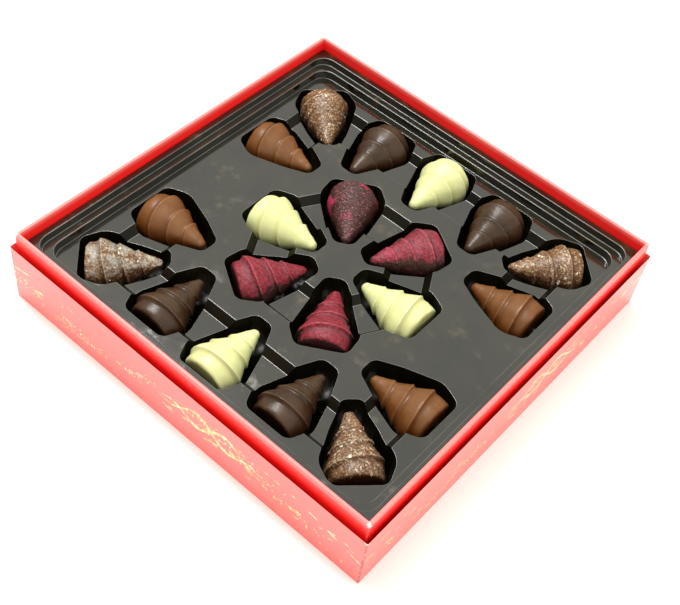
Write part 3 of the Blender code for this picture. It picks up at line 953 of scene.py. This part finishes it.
WHITE, PALE_WHITE = (0.46, 0.475, 0.215), (0.49, 0.505, 0.235)
WHITE_GROOVE_SHADE, WHITE_CREST_HIGHLIGHT, WHITE_END_SHADE = (0.36, 0.33, 0.10), (0.58, 0.60, 0.33), (0.38, 0.36, 0.13)
white_chocolate, tree, shader, place, skin = chocolate(
    "white_chocolate", 0.42, 0.35, 120.0, 700.0, Subsurface_Weight=0.12, Subsurface_Scale=0.0025
)
colour = mix_colour(tree, skin["Tone"], WHITE, PALE_WHITE)
# Painted shade in the grooves and on the flat end, and painted highlights on the crests
colour = tint(tree, colour, skin["Groove shade"], 0.35, WHITE_GROOVE_SHADE)
colour = tint(tree, colour, skin["Crest highlight"], 0.5, WHITE_CREST_HIGHLIGHT)
colour = tint(tree, colour, skin["End face"], 0.45, WHITE_END_SHADE)
tree.links.new(colour, shader.inputs["Base Color"])
bump(tree, shader, skin["Pores"], 0.18, 0.0003)

MILK, PALE_MILK, MILK_UNDERSIDE_SHADE = (0.105, 0.038, 0.0085), (0.128, 0.050, 0.0125), (0.092, 0.026, 0.0050)
MILK_SCUFF, MILK_GROOVE_SHADE, MILK_CREST_HIGHLIGHT = (0.30, 0.16, 0.07), (0.055, 0.018, 0.004), (0.27, 0.135, 0.055)
SCUFFS = (520.0, 5.0, 0.75, 0.60, 0.72)
milk_chocolate, tree, shader, place, skin = chocolate("milk_chocolate", 0.36, 0.30, 140.0, 800.0)
colour = mix_colour(tree, skin["Tone"], MILK, PALE_MILK)
colour = tint(tree, colour, spots(tree, place, *SCUFFS), 0.22, MILK_SCUFF)
# Painted shade in the grooves and on the underside, and painted highlights on the crests
colour = tint(tree, colour, skin["Groove shade"], 0.35, MILK_GROOVE_SHADE)
colour = mix_colour(tree, skin["Upper side"], MILK_UNDERSIDE_SHADE, colour)
colour = tint(tree, colour, skin["Crest highlight"], 0.28, MILK_CREST_HIGHLIGHT)
tree.links.new(colour, shader.inputs["Base Color"])
tree.links.new(math_node(tree, "MULTIPLY_ADD", skin["Tone"], 0.10, 0.30), shader.inputs["Roughness"])
bump(tree, shader, skin["Pores"], 0.22, 0.0003)

DARK, PALE_DARK, DARK_UNDERSIDE_SHADE = (0.026, 0.0125, 0.0052), (0.044, 0.0225, 0.0098), (0.030, 0.0105, 0.0042)
DARK_GROOVE_SHADE, DARK_CREST_HIGHLIGHT, DARK_END_SHADE = (0.010, 0.004, 0.002), (0.105, 0.075, 0.052), (0.009, 0.004, 0.0025)
dark_chocolate, tree, shader, place, skin = chocolate("dark_chocolate", 0.30, 0.24, 110.0, 600.0)
colour = mix_colour(tree, skin["Tone"], DARK, PALE_DARK)
# Painted shade in the grooves, on the underside and on the flat end, and painted highlights on the crests
colour = tint(tree, colour, skin["Groove shade"], 0.35, DARK_GROOVE_SHADE)
colour = mix_colour(tree, skin["Upper side"], DARK_UNDERSIDE_SHADE, colour)
colour = tint(tree, colour, skin["Crest highlight"], 0.30, DARK_CREST_HIGHLIGHT)
colour = tint(tree, colour, skin["End face"], 0.75, DARK_END_SHADE)
tree.links.new(colour, shader.inputs["Base Color"])
tree.links.new(math_node(tree, "MULTIPLY_ADD", skin["Tone"], 0.12, 0.26), shader.inputs["Roughness"])
bump(tree, shader, skin["Pores"], 0.30, 0.0004)

# The speckled pralines are dusted with crystal crumbs in drifts, and a blue-grey bloom lies on top
SPECKLED, PALE_SPECKLED = (0.070, 0.0230, 0.0043), (0.118, 0.045, 0.0100)
SPECKLED_UNDERSIDE_SHADE, SPECKLED_GROOVE_SHADE = (0.038, 0.0115, 0.0048), (0.050, 0.018, 0.005)
SPECKLED_CREST_HIGHLIGHT, FROST, BLOOM = (0.42, 0.35, 0.24), (0.47, 0.385, 0.245), (0.30, 0.315, 0.28)
FROST_CRUMBS = (1050.0, 4.0, 0.65, 0.49, 0.60)
FROST_DRIFTS = (300.0, 4.0, 0.7, 0.42, 0.60)
BLOOM_PATCHES = (250.0, 5.0, 0.7, 0.40, 0.60)
speckled_chocolate, tree, shader, place, skin = chocolate("speckled_chocolate", 0.28, 0.36, 70.0, 1100.0)
colour = mix_colour(tree, skin["Tone"], SPECKLED, PALE_SPECKLED)
# Painted shade on the underside
colour = mix_colour(tree, skin["Upper side"], SPECKLED_UNDERSIDE_SHADE, colour)
dusted = math_node(tree, "MULTIPLY_ADD", skin["Upper side"], 0.75, 0.25)
dusted = times(tree, dusted, math_node(tree, "MULTIPLY_ADD", skin["End face"], -0.9, 1.0))
drifts = math_node(tree, "MULTIPLY_ADD", spots(tree, place, *FROST_DRIFTS), 0.70, 0.30)
frost = times(tree, times(tree, spots(tree, place, *FROST_CRUMBS), drifts), dusted)
colour = tint(tree, colour, frost, 0.82, FROST)
topmost = times(tree, skin["Cover"], ramp(tree, skin["Upper side"], 0.40, 0.98))
bloom = times(tree, spots(tree, place, *BLOOM_PATCHES), topmost)
colour = tint(tree, colour, bloom, 0.58, BLOOM)
# Painted shade in the grooves, and painted highlights on the crests
colour = tint(tree, colour, skin["Groove shade"], 0.5, SPECKLED_GROOVE_SHADE)
colour = tint(tree, colour, skin["Crest highlight"], 0.30, SPECKLED_CREST_HIGHLIGHT)
tree.links.new(colour, shader.inputs["Base Color"])
bump(tree, shader, skin["Pores"], 0.45, 0.0006)

# The raspberry pralines wear a crimson dust with a ragged lower edge. The dust keeps to the side that
# faces up, and below it and on the flat end the dark brown is partly bare chocolate and partly painted
# shade. Where the dust is missing, pink specks and a few crimson daubs lie on the dark chocolate.
CRIMSON, PALE_CRIMSON = (0.105, 0.0050, 0.010), (0.212, 0.017, 0.030)
CRIMSON_GROOVE_SHADE, CRIMSON_CREST_HIGHLIGHT, CRIMSON_END_SHADE = (0.075, 0.022, 0.030), (0.340, 0.070, 0.095), (0.045, 0.010, 0.013)
UNDUSTED_AND_SHADE, PINK, DAUB = (0.030, 0.011, 0.008), (0.300, 0.085, 0.110), (0.36, 0.028, 0.070)
CRIMSON_DUST = (700.0, 4.0, 0.7, 0.40, 0.64)
PINK_SPECKS = (1500.0, 2.0, 0.5, 0.57, 0.66)
DAUBS = (120.0, 3.0, 0.6, 0.58, 0.68)
raspberry_chocolate, tree, shader, place, skin = chocolate("raspberry_chocolate", 0.44, 0.26, 90.0, 1100.0)
colour = mix_colour(tree, spots(tree, place, *CRIMSON_DUST), CRIMSON, PALE_CRIMSON)
# Painted shade in the grooves, and painted highlights on the crests
colour = tint(tree, colour, skin["Groove shade"], 0.55, CRIMSON_GROOVE_SHADE)
colour = tint(tree, colour, skin["Crest highlight"], 0.60, CRIMSON_CREST_HIGHLIGHT)
bare = math_node(tree, "SUBTRACT", 1.0, skin["Cover"])
ragged = math_node(tree, "MULTIPLY_ADD", noise(tree, place, 230.0, 5.0, 0.75), 1.3, -0.65)
# The dust follows the side that faces up, so on coated pralines the lower side and the flat end are painted
# dark as shade
coat_and_lit_side = math_node(tree, "ADD", skin["Upper side"], ragged)
coat_and_lit_side = math_node(tree, "MULTIPLY_ADD", skin["End face"], -0.60, coat_and_lit_side)
coat_and_lit_side = ramp(tree, math_node(tree, "MULTIPLY_ADD", bare, -0.80, coat_and_lit_side), 0.36, 0.56)
colour = mix_colour(tree, coat_and_lit_side, UNDUSTED_AND_SHADE, colour)
# Painted shade on the flat end
colour = tint(tree, colour, skin["End face"], 0.55, CRIMSON_END_SHADE)
pink = times(tree, spots(tree, place, *PINK_SPECKS), skin["Upper side"])
colour = tint(tree, colour, pink, math_node(tree, "MULTIPLY_ADD", bare, 0.75, 0.15), PINK)
colour = tint(tree, colour, times(tree, spots(tree, place, *DAUBS), bare), 0.75, DAUB)
tree.links.new(colour, shader.inputs["Base Color"])
bump(tree, shader, skin["Pores"], 0.6, 0.0006)

skins = {
    "white": white_chocolate, "milk": milk_chocolate, "dark": dark_chocolate,
    "speckled": speckled_chocolate, "raspberry": raspberry_chocolate,
}
for kind, mat in skins.items():
    for i, praline in enumerate(pralines[kind], start=1):
        dress(praline, mat, f"{kind}_chocolate", f"praline_{kind}_{i}")


# Pale crystals are pressed into the skin of the speckled pralines, and fine crumbs of dried
# berry into the crimson ones. Each kind is one loose lot of small sharp grains.
CRYSTALS = ((150, 0.00030, 0.00062), (20, 0.00110, 0.00210))
CRUMBS = ((110, 0.00025, 0.00050),)
SHARPNESS = 0.12
STRETCH = 0.7, 1.3
FLATNESS = 0.34
SUNK = 0.08

bpy.ops.object.select_all(action="DESELECT")
bpy.ops.mesh.primitive_ico_sphere_add(subdivisions=1, radius=0.5)
grain_shape = bpy.context.active_object
grain_shape.name = grain_shape.data.name = "grain_shape"
shape_by(grain_shape, "VERT")
bpy.ops.mesh.select_all(action="SELECT")
bpy.ops.transform.vertex_random(offset=SHARPNESS, seed=3)
done_shaping()


def scatter(name, kind, lots, steepest, seed):
    """Grains pressed into the upper skin of every praline of a kind, as one piece."""
    chance = random.Random(seed)
    lot = bmesh.new()
    for praline in pralines[kind]:
        faces = [face for face in praline.data.polygons if face.normal.z > steepest]
        areas = [face.area for face in faces]
        for number, small, large in lots:
            for face in chance.choices(faces, weights=areas, k=number):
                size = chance.uniform(small, large)
                seat = Matrix.Translation(face.center - face.normal * size * SUNK)
                lean = face.normal.to_track_quat("Z", "Y").to_matrix().to_4x4()
                spin = Matrix.Rotation(chance.uniform(0.0, 2 * math.pi), 4, "Z")
                form = Matrix.Diagonal((size * chance.uniform(*STRETCH), size, size * FLATNESS, 1.0))
                first_new = len(lot.verts)
                lot.from_mesh(grain_shape.data)
                lot.verts.ensure_lookup_table()
                bmesh.ops.transform(lot, matrix=seat @ lean @ spin @ form, verts=lot.verts[first_new:])
    piece = bpy.data.objects.new(name, bpy.data.meshes.new(name))
    lot.to_mesh(piece.data)
    lot.free()
    bpy.context.scene.collection.objects.link(piece)
    return piece


crystals = scatter("pale_crystals", "speckled", CRYSTALS, 0.0, 11)
crumbs = scatter("berry_crumbs", "raspberry", CRUMBS, 0.1, 12)
bpy.data.objects.remove(grain_shape)

# The skin of a grain: a tone that differs from grain to grain, and fine facets
grain_skin, given, result = new_group(
    "grain_skin", (("Place", VECTOR), ("Tone scale", FLOAT, 450.0)), ("Tone", "Facets")
)
grain_skin.links.new(noise(grain_skin, given["Place"], given["Tone scale"], 2.0), result["Tone"])
grain_skin.links.new(noise(grain_skin, given["Place"], 3000.0, 2.0), result["Facets"])
AMBER, CRYSTAL_WHITE = (0.250, 0.170, 0.090), (0.56, 0.55, 0.45)
BERRY_RED, BERRY_PINK = (0.090, 0.008, 0.012), (0.34, 0.055, 0.080)


def grains(name, roughness, specular, tone_scale, fade, low_tone, high_tone):
    """The material of one kind of grain."""
    mat, shader = new_material(name, roughness, Specular_IOR_Level=specular)
    tree = mat.node_tree
    skin = use_group(tree, grain_skin, Place=object_place(tree), Tone_scale=tone_scale)
    colour = mix_colour(tree, ramp(tree, skin["Tone"], *fade), low_tone, high_tone)
    tree.links.new(colour, shader.inputs["Base Color"])
    bump(tree, shader, skin["Facets"], 0.3, 0.0001)
    return mat


pale_crystal = grains("pale_crystal", 0.35, 0.5, 420.0, (0.40, 0.62), AMBER, CRYSTAL_WHITE)
dried_berry = grains("dried_berry", 0.55, 0.4, 500.0, (0.38, 0.62), BERRY_RED, BERRY_PINK)
dress(crystals, pale_crystal, "speckled_chocolate")
dress(crumbs, dried_berry, "raspberry_chocolate")


# The studio: a white table that runs out of view, a bright white room all round, and one large
# soft light above.
TABLE_SIZE = 6.0
TABLE_WHITE = (0.86, 0.86, 0.85, 1.0)
ROOM_WHITE = (1.0, 1.0, 0.93, 1.0)
bpy.ops.object.select_all(action="DESELECT")
bpy.ops.mesh.primitive_plane_add(size=TABLE_SIZE, location=(0.0, 0.0, 0.0))
table = bpy.context.active_object
table.name = table.data.name = "white_table"
white_table, table_shader = new_material("white_table", 0.6)
table_shader.inputs["Base Color"].default_value = TABLE_WHITE
table.data.materials.append(white_table)

room = bpy.data.worlds.new("white_room")
room.use_nodes = True
sky = room.node_tree
backdrop = sky.nodes["Background"]
backdrop.inputs["Color"].default_value = ROOM_WHITE
outward = node(sky, "ShaderNodeTexCoord").outputs["Generated"]


def glow_from(towards, low, high):
    """The part of the room that lies one way, fading out round it."""
    facing = node(sky, "ShaderNodeVectorMath", operation="DOT_PRODUCT")
    sky.links.new(outward, facing.inputs[0])
    facing.inputs[1].default_value = towards
    return ramp(sky, facing.outputs["Value"], low, high)


# Soft glows on the plain white room: overhead, behind the box, low on the right and in front
PLAIN_GLOW = 0.42
ROOM_GLOWS = (
    ((0.0, 0.0, 1.0), 0.88, 0.97, 1.5), ((-0.42, 0.48, 0.77), 0.1, 1.0, 0.72),
    ((0.97, 0.0, 0.24), 0.2, 0.95, 1.3), ((-0.10, -0.85, 0.52), 0.3, 0.95, 0.40),
)
glow = PLAIN_GLOW
for towards, low, high, strength in ROOM_GLOWS:
    glow = math_node(sky, "MULTIPLY_ADD", glow_from(towards, low, high), strength, glow)
sky.links.new(glow, backdrop.inputs["Strength"])
bpy.context.scene.world = room

SOFTBOX_SIZE, SOFTBOX_WATTS = 0.48, 26.0
SOFTBOX_AT, LIT_POINT = Vector((-0.55, 0.15, 1.3)), Vector((0.0, 0.0, 0.02))
softbox = bpy.data.lights.new("softbox", "AREA")
softbox.shape = "RECTANGLE"
softbox.size = SOFTBOX_SIZE
softbox.size_y = SOFTBOX_SIZE
softbox.energy = SOFTBOX_WATTS
softbox_holder = bpy.data.objects.new("softbox", softbox)
bpy.context.scene.collection.objects.link(softbox_holder)
softbox_holder.location = SOFTBOX_AT
softbox_holder.rotation_euler = (LIT_POINT - softbox_holder.location).to_track_quat("-Z", "Y").to_euler()


# The camera looks down at one corner of the box, as in the photograph, and is tilted a little.
# Its place and lens were solved from the corners and edges of the square box.
SENSOR_WIDTH, FOCAL_LENGTH, NEAREST = 36.0, 61.29, 0.01
CAMERA_AT = (0.207388, -0.300400, 0.439712)
RIGHT = Vector((0.749983, 0.653905, 0.099671))
UP = Vector((-0.557018, 0.543090, 0.628319))
LOOK = Vector((-0.356730, 0.526747, -0.771545))
lens = bpy.data.cameras.new("photo_camera")
lens.sensor_fit = "HORIZONTAL"
lens.sensor_width = SENSOR_WIDTH
lens.lens = FOCAL_LENGTH
lens.clip_start = NEAREST
camera = bpy.data.objects.new("photo_camera", lens)
bpy.context.scene.collection.objects.link(camera)
camera.matrix_world = Matrix.Translation(CAMERA_AT) @ Matrix((RIGHT, UP, -LOOK)).transposed().to_4x4()
bpy.context.scene.camera = camera
bpy.context.scene.view_settings.view_transform = "Standard"
